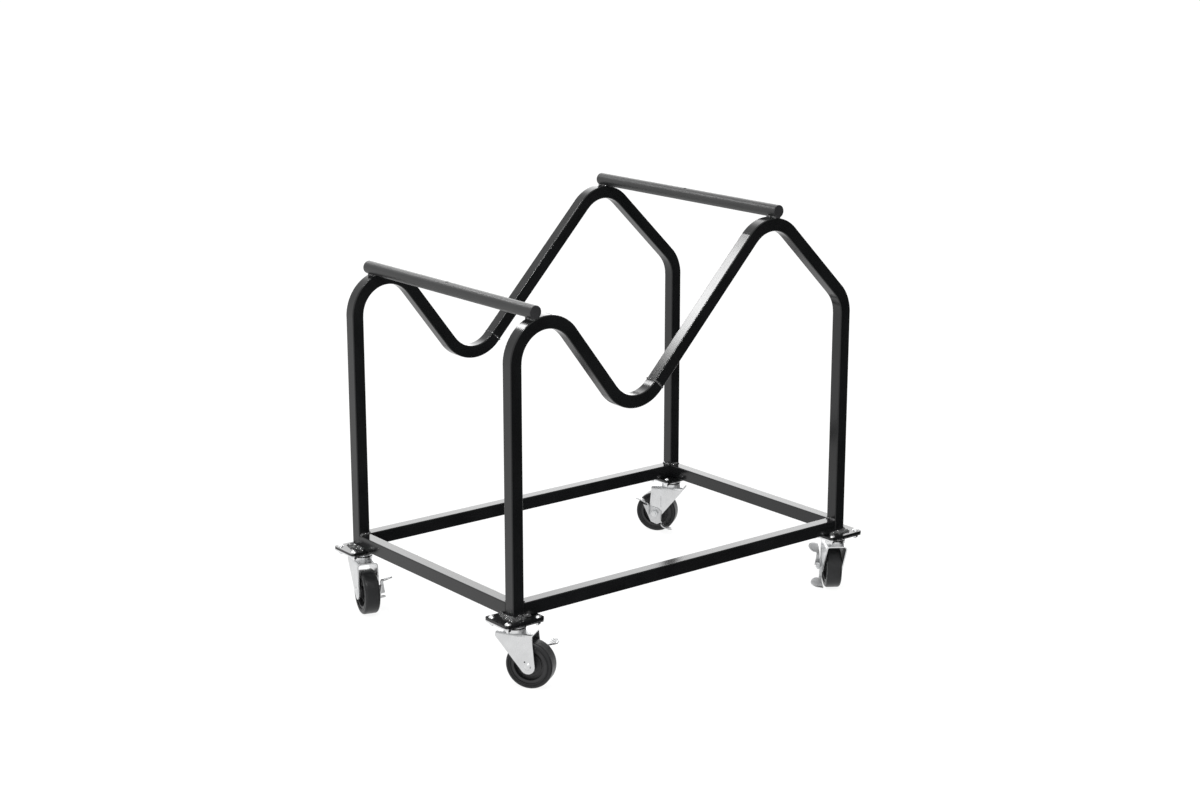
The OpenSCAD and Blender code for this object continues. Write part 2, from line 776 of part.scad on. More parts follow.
// Both pedals, cut off inside the thickness of the body
module pedals() {
    mid_y = (pedal_root[1] + pedal_tip[1]) / 2;
    inside = 2 * (pedal_span + pedal_foot + pedal_w);
    difference() {
        union() {
            rising(mid_y) pedal();
            rising(-mid_y) rotate([0, 0, 180]) pedal();
        }
        translate([0, 0, (lever_t - inside) / 2]) cube(inside, center = true);
    }
}

// Rocker on the axle, with a pedal bent outwards at each end
module brake_lever(i) {
    color(zinc) on_axle(i) across_fork() translate([0, 0, lever_y]) difference() {
        union() {
            lever_body();
            pedals();
        }
        translate([0, 0, -overrun]) cylinder(r = axle_d / 2 + running_gap, h = lever_t + 2 * overrun);
    }
}

low_tube(-1);  // front_low_tube
high_tube(-1);  // front_high_tube
low_tube(1);  // rear_low_tube
high_tube(1);  // rear_high_tube
long_rail(-1);  // front_rail
long_rail(1);  // rear_rail
end_rail(-1);  // low_end_rail
end_rail(1);  // high_end_rail
cross_bar(low_bar_c);  // low_cross_bar
cross_bar(high_bar_c);  // high_cross_bar
cross_bar_caps();
weld_beads();
plate_bolts();
plate_nuts();
for (i = [0 : 3]) {
    corner_plate(i);
    castor_plate(i);
    kingpin(i);
    swivel_balls(i);
    fork(i);
    axle_bolt(i);
    axle_nut(i);
    tyre(i);
    hub(i);
    axle_bush(i);
    brake_lever(i);
}
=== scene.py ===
"""Dresses the stacking chair trolley: finishes, weld beads, nuts with threads, and a plain studio."""
import json
import math
import random

import bpy
from bpy.props import FloatProperty, FloatVectorProperty, IntProperty, PointerProperty
from mathutils import Matrix, Vector


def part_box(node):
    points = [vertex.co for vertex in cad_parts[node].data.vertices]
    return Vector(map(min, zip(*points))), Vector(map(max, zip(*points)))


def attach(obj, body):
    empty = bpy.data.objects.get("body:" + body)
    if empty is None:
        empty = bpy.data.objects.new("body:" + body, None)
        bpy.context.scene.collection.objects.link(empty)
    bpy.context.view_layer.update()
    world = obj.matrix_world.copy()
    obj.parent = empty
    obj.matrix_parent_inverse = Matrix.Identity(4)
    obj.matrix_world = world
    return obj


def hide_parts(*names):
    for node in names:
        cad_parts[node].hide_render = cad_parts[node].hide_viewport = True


bl_info = {
    "name": "Stacking Chair Trolley",
    "version": (1, 0, 0),
    "blender": (4, 5, 0),
    "location": "View3D > Sidebar > Trolley",
    "description": "Finishes, weld beads, nuts and studio for a stacking chair trolley on castors",
    "category": "Object",
}

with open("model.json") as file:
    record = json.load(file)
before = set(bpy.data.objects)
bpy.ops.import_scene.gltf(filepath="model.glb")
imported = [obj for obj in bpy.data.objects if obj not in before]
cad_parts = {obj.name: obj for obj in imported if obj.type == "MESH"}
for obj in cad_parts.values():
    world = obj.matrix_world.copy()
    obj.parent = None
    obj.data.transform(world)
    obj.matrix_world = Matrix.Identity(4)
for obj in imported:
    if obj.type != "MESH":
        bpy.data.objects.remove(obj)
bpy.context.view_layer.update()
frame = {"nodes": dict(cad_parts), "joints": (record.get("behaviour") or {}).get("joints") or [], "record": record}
NODES = frame["nodes"]
CORNERS = ("front_left", "front_right", "rear_left", "rear_right")
SIDES = {"front": -1, "rear": 1}
UP = Vector((0, 0, 1))
ALONG = Vector((1, 0, 0))
ACROSS = Vector((0, 1, 0))

# Coats: bump of the peel, refractive index, and roughness against the frame's coat
COAT_PEEL, WELD_PEEL = 0.5, 16
COAT_INDEX, SATIN_INDEX, WELD_INDEX = 1.42, 1.55, 2.2
SATIN_SHARE, WELD_SHARE = 2.75, 0.6
# Painted shade: colour and half height of the dark band drawn on the castor plate and fork along the ball race's
# gap
RACE_GAP_SHADE = (0.035, 0.033, 0.03)
RACE_GAP_SHADE_HALF = 0.0014

# Weld ripples, as shares of their bead's radius, and how far they lean in radians
RIPPLE_WANDER = 0.2
RIPPLE_SIZES = (0.74, 1.16)
RIPPLE_THIN = (0.4, 0.7)
RIPPLE_LEAN = (0.2, 0.5)
LUMP_SHARE = 0.7
VOXELS = 10
# Width of a lump against the step between two ripples
LUMP_WIDTH = 0.8

# Passes of a foot bead: how far out and up they lie in bead radii, and their share of the run
FOOT_PASSES = ((0.2, 0.25, 1), (1.1, -0.15, 0))
# Beads on the rails and bars: half lengths as shares of half a tube, and places in bead radii
RAIL_RUN, RAIL_LIFT, RAIL_OUT = 0.72, 0.15, 0.25
BAR_RUN, BAR_SUNK, BAR_OUT = 0.8, 0.2, 1.5
BUTT_SUNK = 0.55
# Leans of the crests under the cross bars, in degrees
BAR_LEANS = {"low": -16.5, "high": 7}

# Nuts and threads, as shares of the flat's or corner's radius, the bore's radius and the pitch
NUT_FACE_SHARE, NUT_BLANK_SHARE = 0.97, 1.02
SINK_SHARE = 0.16
RIDGE_SHARE, RIDGE_SUNK_SHARE = 0.5, 0.2
CHAMFER_ANGLE = math.radians(30)
SMOOTH_ANGLE = math.radians(25)
STEPS_PER_TURN = 24

# Soft patches of the surround: direction, and its cosine at the patch's edge and core
BACK_PATCH = ((0.60, 0.76, 0.25), 0.78, 0.96)
FRONT_PATCH = ((0.60, -0.76, -0.25), 0.74, 0.94)
EDGE_PATCH = ((0.85, -0.10, 0.50), 0.70, 0.93)
LEG_PATCH = ((-0.60, 0.75, -0.25), 0.80, 0.97)

# Lamps: place, aim, width and height
SOFTBOX = ((-0.43, 1.19, 1.95), (0.03, -0.26, 0.65), 0.32, 0.36)
GLINT_PLACE, GLINT_SIZE = (-1.0, -1.1, 2.4), 0.20


# Places that come from the frame

def middle(node):
    """Middle of a CAD node's box"""
    low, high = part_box(node)
    return (low + high) / 2


RAIL_LOW, RAIL_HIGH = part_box("front_rail")
TUBE_W = RAIL_HIGH.y - RAIL_LOW.y
HALF_TUBE = TUBE_W / 2
RAIL_TOP = RAIL_HIGH.z
SIDE_Y = abs(middle("front_rail").y)
BAR_R = (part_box("low_cross_bar")[1].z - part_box("low_cross_bar")[0].z) / 2
RACE_Z = middle("front_left_swivel_balls").z
MOUNTS = {mount["name"]: mount for mount in frame["record"]["mounts"]}


def leg_foot(corner):
    """Middle of a leg's foot, on top of its corner plate"""
    place = middle(f"{corner}_corner_plate")
    place.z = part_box(f"{corner}_corner_plate")[1].z
    return place


# Settings that a user would change

class TrolleyFinishes(bpy.types.PropertyGroup):
    """Colours and gloss of the trolley's finishes"""

    coat: FloatVectorProperty(
        name="Powder coat", description="Colour of the frame's powder coat",
        subtype="COLOR", size=3, min=0, max=1, default=(0.006, 0.0063, 0.0066))
    coat_roughness: FloatProperty(
        name="Coat roughness", description="Middle roughness of the powder coat",
        subtype="FACTOR", min=0, max=1, default=0.16)
    zinc: FloatVectorProperty(
        name="Zinc", description="Colour of the castors' zinc plating",
        subtype="COLOR", size=3, min=0, max=1, default=(0.69, 0.695, 0.70))
    zinc_roughness: FloatProperty(
        name="Zinc roughness", description="Middle roughness of the castors' plating",
        subtype="FACTOR", min=0, max=1, default=0.30)
    # Painted shade: the levers' zinc is darker than the castors' zinc, standing for the shade that falls on the
    # levers
    shaded_pedal_zinc: FloatVectorProperty(
        name="Pedal zinc", description="Colour of the brake levers' duller plating",
        subtype="COLOR", size=3, min=0, max=1, default=(0.57, 0.575, 0.58))
    pedal_roughness: FloatProperty(
        name="Pedal roughness", description="Middle roughness of the brake levers' plating",
        subtype="FACTOR", min=0, max=1, default=0.36)
    steel: FloatVectorProperty(
        name="Bright steel", description="Colour of the bolts, nuts and balls",
        subtype="COLOR", size=3, min=0, max=1, default=(0.86, 0.865, 0.87))
    plastic: FloatVectorProperty(
        name="Black plastic", description="Colour of the wheel centres and end caps",
        subtype="COLOR", size=3, min=0, max=1, default=(0.012, 0.012, 0.013))
    rubber: FloatVectorProperty(
        name="Tyre rubber", description="Colour of the tyres",
        subtype="COLOR", size=3, min=0, max=1, default=(0.012, 0.0124, 0.0132))


class TrolleyWelds(bpy.types.PropertyGroup):
    """Sizes of the weld beads"""

    ripple_step: FloatProperty(
        name="Ripple step", description="Distance between two ripples of a bead",
        subtype="DISTANCE", unit="LENGTH", min=0.001, max=0.01, default=0.0026)
    foot_r: FloatProperty(
        name="Foot bead", description="Radius of the beads round the legs' feet",
        subtype="DISTANCE", unit="LENGTH", min=0.001, max=0.01, default=0.0048)
    foot_run: FloatProperty(
        name="Foot bead run", description="How far a foot bead runs on along the rails",
        subtype="DISTANCE", unit="LENGTH", min=0, max=0.03, default=0.012)
    rail_r: FloatProperty(
        name="Rail bead", description="Radius of the beads on the rails' tops",
        subtype="DISTANCE", unit="LENGTH", min=0.001, max=0.01, default=0.0034)
    bar_r: FloatProperty(
        name="Bar bead", description="Radius of the beads under the cross bars",
        subtype="DISTANCE", unit="LENGTH", min=0.001, max=0.01, default=0.0036)
    butt_r: FloatProperty(
        name="Butt bead", description="Radius of the beads round the side frames' butt joints",
        subtype="DISTANCE", unit="LENGTH", min=0.001, max=0.01, default=0.0024)
    butt_down: FloatProperty(
        name="Butt joint", description="Distance of the butt joints below the chair rests' middles",
        subtype="DISTANCE", unit="LENGTH", min=0, max=0.3, default=0.168)
    seed: IntProperty(
        name="Seed", description="Start of the ripples' random sizes", min=0, default=11)


class TrolleyFasteners(bpy.types.PropertyGroup):
    """Sizes of the bolts and nuts"""

    bolt_pitch: FloatVectorProperty(
        name="Bolt pitch", description="Distances between the plate bolts, along and across",
        subtype="XYZ", unit="LENGTH", size=2, default=(0.067, 0.050))
    plate_nut: FloatProperty(
        name="Plate nut", description="Size of the plate nuts across their flats",
        subtype="DISTANCE", unit="LENGTH", min=0.005, max=0.02, default=0.010)
    plate_bolt_r: FloatProperty(
        name="Plate bolt", description="Radius of the plate bolts' shanks",
        subtype="DISTANCE", unit="LENGTH", min=0.002, max=0.006, default=0.003)
    plate_thread: FloatProperty(
        name="Plate thread", description="Pitch of the plate bolts' threads",
        subtype="DISTANCE", unit="LENGTH", min=0.0005, max=0.002, default=0.001)
    axle_r: FloatProperty(
        name="Axle", description="Radius of the axle bolts' shanks",
        subtype="DISTANCE", unit="LENGTH", min=0.002, max=0.008, default=0.004)
    axle_nut_h: FloatProperty(
        name="Axle nut", description="Height of the axle nuts",
        subtype="DISTANCE", unit="LENGTH", min=0.003, max=0.012, default=0.0064)
    axle_end: FloatProperty(
        name="Axle end", description="Length of each axle bolt that stands out of its nut",
        subtype="DISTANCE", unit="LENGTH", min=0, max=0.01, default=0.002)


class TrolleyStudio(bpy.types.PropertyGroup):
    """Camera and light"""

    camera_place: FloatVectorProperty(
        name="Camera", description="Place of the camera",
        subtype="TRANSLATION", unit="LENGTH", size=3, default=(-2.5178, -3.1649, 1.4621))
    camera_yaw: FloatProperty(
        name="Yaw", description="Turn of the camera to the right of +Y",
        subtype="ANGLE", unit="ROTATION", default=0.6715)
    camera_pitch: FloatProperty(
        name="Pitch", description="Tilt of the camera below the horizon",
        subtype="ANGLE", unit="ROTATION", default=0.2501)
    lens: FloatProperty(
        name="Lens", description="Focal length for a 36 mm wide sensor, in millimetres",
        min=10, max=300, default=62.715)
    floor_r: FloatProperty(
        name="Floor", description="Radius of the pale floor",
        subtype="DISTANCE", unit="LENGTH", min=1, max=100, default=40)
    wall_h: FloatProperty(
        name="Wall", description="Height of the pale wall round the floor",
        subtype="DISTANCE", unit="LENGTH", min=1, max=100, default=12)
    sky: FloatProperty(
        name="Surround", description="Brightness of the white surround", min=0, max=5, default=1.0)
    back_glow: FloatProperty(
        name="Back glow", description="Extra brightness of the surround behind the trolley",
        min=0, max=5, default=2.15)
    flag: FloatProperty(
        name="Dark flag", description="How much the surround is darkened on the front's far side",
        subtype="FACTOR", min=0, max=1, default=1.0)
    edge_flag: FloatProperty(
        name="Edge flag", description="How much the surround is darkened over the tubes' top edges",
        subtype="FACTOR", min=0, max=1, default=0.65)
    leg_glow: FloatProperty(
        name="Leg glow", description="Extra brightness of the surround before the legs' end faces",
        subtype="FACTOR", min=0, max=1, default=0.15)
    key: FloatProperty(
        name="Softbox", description="Power of the overhead softbox, in watts",
        min=0, max=2000, default=7)
    glint: FloatProperty(
        name="Glint lamp", description="Power of the small lamp over the front, in watts",
        min=0, max=2000, default=20)
    floor_glow: FloatProperty(
        name="Floor glow", description="Light that the floor gives off by itself",
        min=0, max=2, default=0.9)


# Small tools

def settings():
    """All the settings, which register() hangs on the scene"""
    scene = bpy.context.scene
    return scene.trolley_finishes, scene.trolley_welds, scene.trolley_fasteners, scene.trolley_studio


def deselect():
    """Leaves edit mode and drops every selection, as the CAD pieces load selected"""
    if bpy.context.object and bpy.context.object.mode != "OBJECT":
        bpy.ops.object.mode_set(mode="OBJECT")
    bpy.ops.object.select_all(action="DESELECT")


def apply_modifier(piece, kind, **values):
    """Adds a modifier to the active piece and applies it"""
    modifier = piece.modifiers.new(kind.title(), kind)
    for key, value in values.items():
        setattr(modifier, key, value)
    bpy.ops.object.modifier_apply(modifier=modifier.name)


class Finish:
    """A procedural material on Object coordinates, with short ways to add its nodes"""

    def __init__(self, name):
        self.material = bpy.data.materials.new(name)
        self.material.use_nodes = True
        self.tree = self.material.node_tree
        self.shader = self.tree.nodes["Principled BSDF"]
        self.place = self.node("ShaderNodeTexCoord").outputs["Object"]

    def node(self, kind, **values):
        """A new node with some of its inputs set or linked"""
        made = self.tree.nodes.new(kind)
        for key, value in values.items():
            target = made.inputs[key.replace("_", " ")]
            if isinstance(value, bpy.types.NodeSocket):
                self.tree.links.new(value, target)
            else:
                target.default_value = value
        return made

    def noise(self, scale, detail=2.0, stretch=(1, 1, 1)):
        """Smooth noise with that many lumps to a metre"""
        mapping = self.node("ShaderNodeMapping", Vector=self.place, Scale=stretch)
        made = self.node(
            "ShaderNodeTexNoise", Vector=mapping.outputs["Vector"], Scale=scale, Detail=detail)
        return made.outputs["Fac"]

    def spread(self, source, low, high, source_low=0.3, source_high=0.7):
        """Stretches a pattern to run from low to high"""
        made = self.node(
            "ShaderNodeMapRange", Value=source, From_Min=source_low, From_Max=source_high,
            To_Min=low, To_Max=high)
        return made.outputs["Result"]

    def tones(self, source, dark, light, dark_at=0.3, light_at=0.7, under=None):
        """Colours a pattern from dark to light, with another colour where it falls to nothing"""
        made = self.node("ShaderNodeValToRGB", Fac=source)
        ends = made.color_ramp.elements
        ends[0].position, ends[0].color = dark_at, (*dark, 1)
        ends[1].position, ends[1].color = light_at, (*light, 1)
        if under:
            ends.new(0.05).color = (*under, 1)
        return made.outputs["Color"]

    def band(self, height, half):
        """1 in a level band round a height, and 0 elsewhere"""
        level = self.node("ShaderNodeSeparateXYZ", Vector=self.place).outputs["Z"]
        made = self.node("ShaderNodeMath")
        made.operation = "COMPARE"
        self.tree.links.new(level, made.inputs[0])
        made.inputs[1].default_value = height
        made.inputs[2].default_value = half
        return made.outputs["Value"]

    def sum(self, first, second, share):
        """One pattern and a share of another"""
        made = self.node("ShaderNodeMath")
        made.operation = "MULTIPLY_ADD"
        self.tree.links.new(second, made.inputs[0])
        made.inputs[1].default_value = share
        self.tree.links.new(first, made.inputs[2])
        return made.outputs["Value"]

    def bump(self, height, distance, strength=1.0, under=None):
        """Raises the surface by a pattern, over another bump if one is given"""
        made = self.node("ShaderNodeBump", Height=height, Distance=distance, Strength=strength)
        if under:
            self.tree.links.new(under, made.inputs["Normal"])
        return made.outputs["Normal"]

    def shade(self, **values):
        """Sets or links the shader's own sockets"""
        for key, value in values.items():
            target = self.shader.inputs[key.replace("_", " ")]
            if isinstance(value, bpy.types.NodeSocket):
                self.tree.links.new(value, target)
            else:
                target.default_value = value
        return self.material


def scaled(colour, factor):
    """A colour made darker or lighter"""
    return tuple(min(1.0, channel * factor) for channel in colour)


def dress(nodes, material):
    """Gives CAD nodes a finish"""
    for name in nodes:
        slots = NODES[name].data.materials
        slots.clear()
        slots.append(material)


# Finishes

def powder_coat(name, colour, roughness, peel, index):
    """Glossy or satin black powder coat with a fine orange peel and a faintly cloudy gloss"""
    finish = Finish(name)
    fine_peel = finish.bump(finish.noise(700, 2), 0.000002, peel)
    coarse_peel = finish.bump(finish.noise(260, 1), 0.0000035, peel, fine_peel)
    cloud = finish.noise(16, 4)
    return finish.shade(
        Base_Color=finish.tones(cloud, scaled(colour, 0.8), scaled(colour, 1.25)),
        Roughness=finish.spread(finish.noise(12, 1), roughness - 0.012, roughness + 0.016),
        Normal=coarse_peel, IOR=index)


def zinc_plate(name, colour, roughness, gap_shade_at=None):
    """Bright zinc plating with fine streaks and a cloudy tone, and a dark band of painted shade along the ball
    race's gap
    """
    finish = Finish(name)
    streaks = finish.noise(520, 3, (1, 1, 0.12))
    film_and_gap_shade = finish.noise(45, 3)
    if gap_shade_at is not None:
        # Painted shade: darkens the zinc in a band round the ball race's gap
        film_and_gap_shade = finish.sum(film_and_gap_shade, finish.band(gap_shade_at, RACE_GAP_SHADE_HALF), -1)
    return finish.shade(
        Base_Color=finish.tones(film_and_gap_shade, scaled(colour, 0.93), scaled(colour, 1.04), under=RACE_GAP_SHADE),
        Metallic=1.0,
        Roughness=finish.spread(streaks, roughness - 0.06, roughness + 0.08),
        Normal=finish.bump(streaks, 0.000015, 0.5))


def bright_steel(name, colour):
    """Polished bolt steel with small handling marks"""
    finish = Finish(name)
    return finish.shade(
        Base_Color=finish.tones(finish.noise(180, 3), scaled(colour, 0.88), colour),
        Metallic=1.0,
        Roughness=finish.spread(finish.noise(700, 2), 0.16, 0.28),
        Normal=finish.bump(finish.noise(900, 2), 0.00003, 0.5))


def moulded_plastic(name, colour):
    """Moulded black plastic with a fine eroded texture"""
    finish = Finish(name)
    return finish.shade(
        Base_Color=finish.tones(finish.noise(60, 3), scaled(colour, 0.8), scaled(colour, 1.3)),
        Roughness=finish.spread(finish.noise(90, 3), 0.42, 0.54),
        Normal=finish.bump(finish.noise(1600, 2), 0.00005, 0.7))


def tyre_rubber(name, colour):
    """Dark grey tyre rubber, a little dusty in patches"""
    finish = Finish(name)
    dust = finish.noise(55, 5)
    return finish.shade(
        Base_Color=finish.tones(dust, scaled(colour, 0.7), scaled(colour, 1.25), 0.35, 0.75),
        Roughness=finish.spread(dust, 0.26, 0.42),
        Normal=finish.bump(finish.noise(1300, 3), 0.00002, 0.8),
        Specular_IOR_Level=0.3)


class TROLLEY_OT_frame_finish(bpy.types.Operator):
    """Powder coats the frame and finishes its caps, bolts and nuts"""

    bl_idname = "trolley.frame_finish"
    bl_label = "Frame finish"

    def execute(self, context):
        look = settings()[0]
        coat = powder_coat("black_powder_coat", look.coat, look.coat_roughness, COAT_PEEL, COAT_INDEX)
        tubes = [f"{side}_{end}_tube" for side in SIDES for end in ("low", "high")]
        rails = ["front_rail", "rear_rail", "low_end_rail", "high_end_rail"]
        bars = ["low_cross_bar", "high_cross_bar"]
        plates = [f"{corner}_corner_plate" for corner in CORNERS]
        dress(tubes + rails + plates + ["weld_beads"], coat)
        satin = look.coat_roughness * SATIN_SHARE
        dress(bars, powder_coat("satin_powder_coat", look.coat, satin, COAT_PEEL, SATIN_INDEX))
        dress(["cross_bar_caps"], moulded_plastic("cap_plastic", look.plastic))
        dress(["plate_bolts", "plate_nuts"], bright_steel("bolt_steel", look.steel))
        return {"FINISHED"}


class TROLLEY_OT_castor_finish(bpy.types.Operator):
    """Finishes the plated, moulded and rubber pieces of the castors"""

    bl_idname = "trolley.castor_finish"
    bl_label = "Castor finish"

    def execute(self, context):
        look = settings()[0]
        pieces = {
            # The castor plate and fork get a band of painted shade along the ball race's gap
            ("castor_plate", "fork"): zinc_plate(
                "race_zinc_with_gap_shade", look.zinc, look.zinc_roughness, RACE_Z),
            ("kingpin", "axle_bolt", "axle_nut", "axle_bush"): zinc_plate(
                "zinc_plate", look.zinc, look.zinc_roughness),
            # The brake levers' zinc is darkened as painted shade
            ("brake_lever",): zinc_plate("brake_zinc", look.shaded_pedal_zinc, look.pedal_roughness),
            ("swivel_balls",): bright_steel("ball_steel", look.steel),
            ("hub",): moulded_plastic("hub_plastic", look.plastic),
            ("tyre",): tyre_rubber("tyre_rubber", look.rubber),
        }
        for names, material in pieces.items():
            dress([f"{corner}_{name}" for corner in CORNERS for name in names], material)
        return {"FINISHED"}


# Weld beads

class TROLLEY_OT_weld_coat(bpy.types.Operator):
    """Mixes the thicker, glossier coat that runs over the weld beads, and the lumps in them"""

    bl_idname = "trolley.weld_coat"
    bl_label = "Weld coat"

    def execute(self, context):
        look, welds = settings()[:2]
        powder_coat("weld_coat", look.coat, look.coat_roughness * WELD_SHARE, WELD_PEEL, WELD_INDEX)
        lumps = bpy.data.textures.new("weld_lumps", "CLOUDS")
        lumps.noise_scale = welds.ripple_step * LUMP_WIDTH
        lumps.noise_depth = 1
        return {"FINISHED"}


def add_ripple(place, run, radius, thin, lean):
    """One drop of weld, thin along the run and leaning back on the drop before it"""
    turn = run.to_track_quat("X", "Z").to_euler()
    turn.y -= lean
    bpy.ops.mesh.primitive_uv_sphere_add(
        segments=14, ring_count=9, radius=radius, location=place, rotation=turn, scale=(thin, 1, 1))


def lay_bead(name, runs, radius, seed):
    """A bead laid along straight runs: uneven ripples that melt into one skin"""
    welds = settings()[1]
    draw = random.Random(seed)
    deselect()
    piece = None
    for start, end in runs:
        run = end - start
        count = max(2, round(run.length / welds.ripple_step))
        for ripple in range(count + 1):
            wander = Vector(draw.uniform(-RIPPLE_WANDER, RIPPLE_WANDER) * radius for _ in range(3))
            place = start + run * (ripple / count) + wander
            size = radius * draw.uniform(*RIPPLE_SIZES)
            add_ripple(place, run, size, draw.uniform(*RIPPLE_THIN), draw.uniform(*RIPPLE_LEAN))
            if piece is None:
                piece = bpy.context.object
                bpy.ops.object.transform_apply(location=True, rotation=True, scale=True)
                bpy.ops.object.mode_set(mode="EDIT")
    bpy.ops.object.mode_set(mode="OBJECT")
    apply_modifier(piece, "REMESH", mode="VOXEL", voxel_size=radius / VOXELS)
    apply_modifier(piece, "SMOOTH", factor=0.5, iterations=1)
    apply_modifier(
        piece, "DISPLACE", texture=bpy.data.textures["weld_lumps"], texture_coords="LOCAL",
        mid_level=0.5, strength=radius * LUMP_SHARE)
    bpy.ops.object.shade_smooth()
    piece.name = piece.data.name = name
    piece.data.materials.append(bpy.data.materials["weld_coat"])
    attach(piece, "frame")
    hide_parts("weld_beads")
    return piece


class TROLLEY_OT_foot_welds(bpy.types.Operator):
    """Lays the beads round the legs' feet in two passes, the first running on along the rails"""

    bl_idname = "trolley.foot_welds"
    bl_label = "Foot welds"

    def execute(self, context):
        welds = settings()[1]
        for number, corner in enumerate(CORNERS):
            foot = leg_foot(corner)
            out_x = ALONG * math.copysign(1, foot.x)
            out_y = ACROSS * math.copysign(1, foot.y)
            runs = []
            for out, lift, share in FOOT_PASSES:
                nose = foot + (out_x + out_y) * (HALF_TUBE + welds.foot_r * out)
                nose += UP * welds.foot_r * lift
                reach = TUBE_W + welds.foot_run * share
                runs += [(nose, nose - way * reach) for way in (out_x, out_y)]
            lay_bead(f"{corner}_foot_weld", runs, welds.foot_r, welds.seed + number)
        return {"FINISHED"}


class TROLLEY_OT_rail_welds(bpy.types.Operator):
    """Lays the beads across the rails' tops against the legs"""

    bl_idname = "trolley.rail_welds"
    bl_label = "Rail welds"

    def execute(self, context):
        welds = settings()[1]
        half = HALF_TUBE * RAIL_RUN
        for number, corner in enumerate(CORNERS):
            foot = leg_foot(corner)
            top = Vector((foot.x, foot.y, RAIL_TOP + welds.rail_r * RAIL_LIFT))
            in_x = -ALONG * math.copysign(1, foot.x)
            in_y = -ACROSS * math.copysign(1, foot.y)
            edge = HALF_TUBE + welds.rail_r * RAIL_OUT
            runs = [
                (top + in_x * edge - ACROSS * half, top + in_x * edge + ACROSS * half),
                (top + in_y * edge - ALONG * half, top + in_y * edge + ALONG * half),
            ]
            lay_bead(f"{corner}_rail_welds", runs, welds.rail_r, welds.seed + 10 + number)
        return {"FINISHED"}


class TROLLEY_OT_bar_welds(bpy.types.Operator):
    """Lays the beads on both sides of the cross bars' seats"""

    bl_idname = "trolley.bar_welds"
    bl_label = "Bar welds"

    def execute(self, context):
        welds = settings()[1]
        half = HALF_TUBE * BAR_RUN
        for number, (end, degrees) in enumerate(BAR_LEANS.items()):
            lean = math.radians(degrees)
            bar = middle(f"{end}_cross_bar")
            normal = Vector((math.sin(lean), 0, math.cos(lean)))
            along = Vector((math.cos(lean), 0, -math.sin(lean)))
            seat = bar - normal * (BAR_R - welds.bar_r * BAR_SUNK)
            runs = []
            for way in (-1, 1):
                for side in SIDES.values():
                    place = seat + along * way * welds.bar_r * BAR_OUT + ACROSS * side * SIDE_Y
                    runs.append((place - ACROSS * half, place + ACROSS * half))
            lay_bead(f"{end}_bar_welds", runs, welds.bar_r, welds.seed + 20 + number)
        return {"FINISHED"}


class TROLLEY_OT_butt_welds(bpy.types.Operator):
    """Lays the beads round the butt joints between the side frames' two lengths"""

    bl_idname = "trolley.butt_welds"
    bl_label = "Butt welds"

    def execute(self, context):
        welds = settings()[1]
        half = HALF_TUBE - welds.butt_r * BUTT_SUNK
        for number, side in enumerate(SIDES):
            mount = MOUNTS[f"{side}_chair_rest"]
            normal = Vector(mount["axis"])
            slope = ACROSS.cross(normal)
            joint = Vector(mount["pos_m"]) - normal * HALF_TUBE - slope * welds.butt_down
            corners = [
                joint + normal * half * up + ACROSS * half * out
                for up, out in ((1, -1), (1, 1), (-1, 1), (-1, -1))
            ]
            runs = [(corners[k], corners[(k + 1) % 4]) for k in range(4)]
            lay_bead(f"{side}_butt_weld", runs, welds.butt_r, welds.seed + 30 + number)
        return {"FINISHED"}


# Nuts and threads

def turned(steps, sides=48):
    """A closed turned body about +Z, from pairs of radius and height"""
    deselect()
    bpy.ops.mesh.primitive_circle_add(
        vertices=sides, radius=steps[0][0], fill_type="NGON", location=(0, 0, steps[0][1]))
    bpy.ops.object.transform_apply(location=True)
    bpy.ops.object.mode_set(mode="EDIT")
    for (last_r, last_z), (r, z) in zip(steps, steps[1:]):
        bpy.ops.mesh.extrude_region_move(TRANSFORM_OT_translate={"value": (0, 0, z - last_z)})
        bpy.ops.transform.resize(value=(r / last_r, r / last_r, 1), center_override=(0, 0, z))
    bpy.ops.mesh.select_all(action="SELECT")
    bpy.ops.mesh.normals_make_consistent(inside=False)
    bpy.ops.object.mode_set(mode="OBJECT")
    return bpy.context.object


def cut(piece, tool, operation):
    """Cuts a piece by a tool, which is then thrown away"""
    deselect()
    piece.select_set(True)
    bpy.context.view_layer.objects.active = piece
    apply_modifier(piece, "BOOLEAN", object=tool, operation=operation, solver="EXACT")
    bpy.data.meshes.remove(tool.data)


def hexagon_nut(across, height, bore_r):
    """A hexagon nut about +Z: both faces chamfered, and its bore countersunk"""
    half, flat_r, corner_r = height / 2, across / 2, across / math.sqrt(3)
    chamfer = (corner_r - flat_r) * math.tan(CHAMFER_ANGLE)
    blank = turned((
        (flat_r * NUT_FACE_SHARE, -half), (corner_r * NUT_BLANK_SHARE, chamfer - half),
        (corner_r * NUT_BLANK_SHARE, half - chamfer), (flat_r * NUT_FACE_SHARE, half)))
    sink = bore_r * SINK_SHARE
    bore = turned((
        (bore_r + 2 * sink, -half - sink), (bore_r, sink - half), (bore_r, half - sink),
        (bore_r + 2 * sink, half + sink)))
    deselect()
    bpy.ops.mesh.primitive_cylinder_add(
        vertices=6, radius=corner_r, depth=height, rotation=(0, 0, math.pi / 2))
    bpy.ops.object.transform_apply(rotation=True)
    nut = bpy.context.object
    cut(nut, blank, "INTERSECT")
    cut(nut, bore, "DIFFERENCE")
    bpy.ops.object.shade_smooth_by_angle(angle=SMOOTH_ANGLE)
    return nut


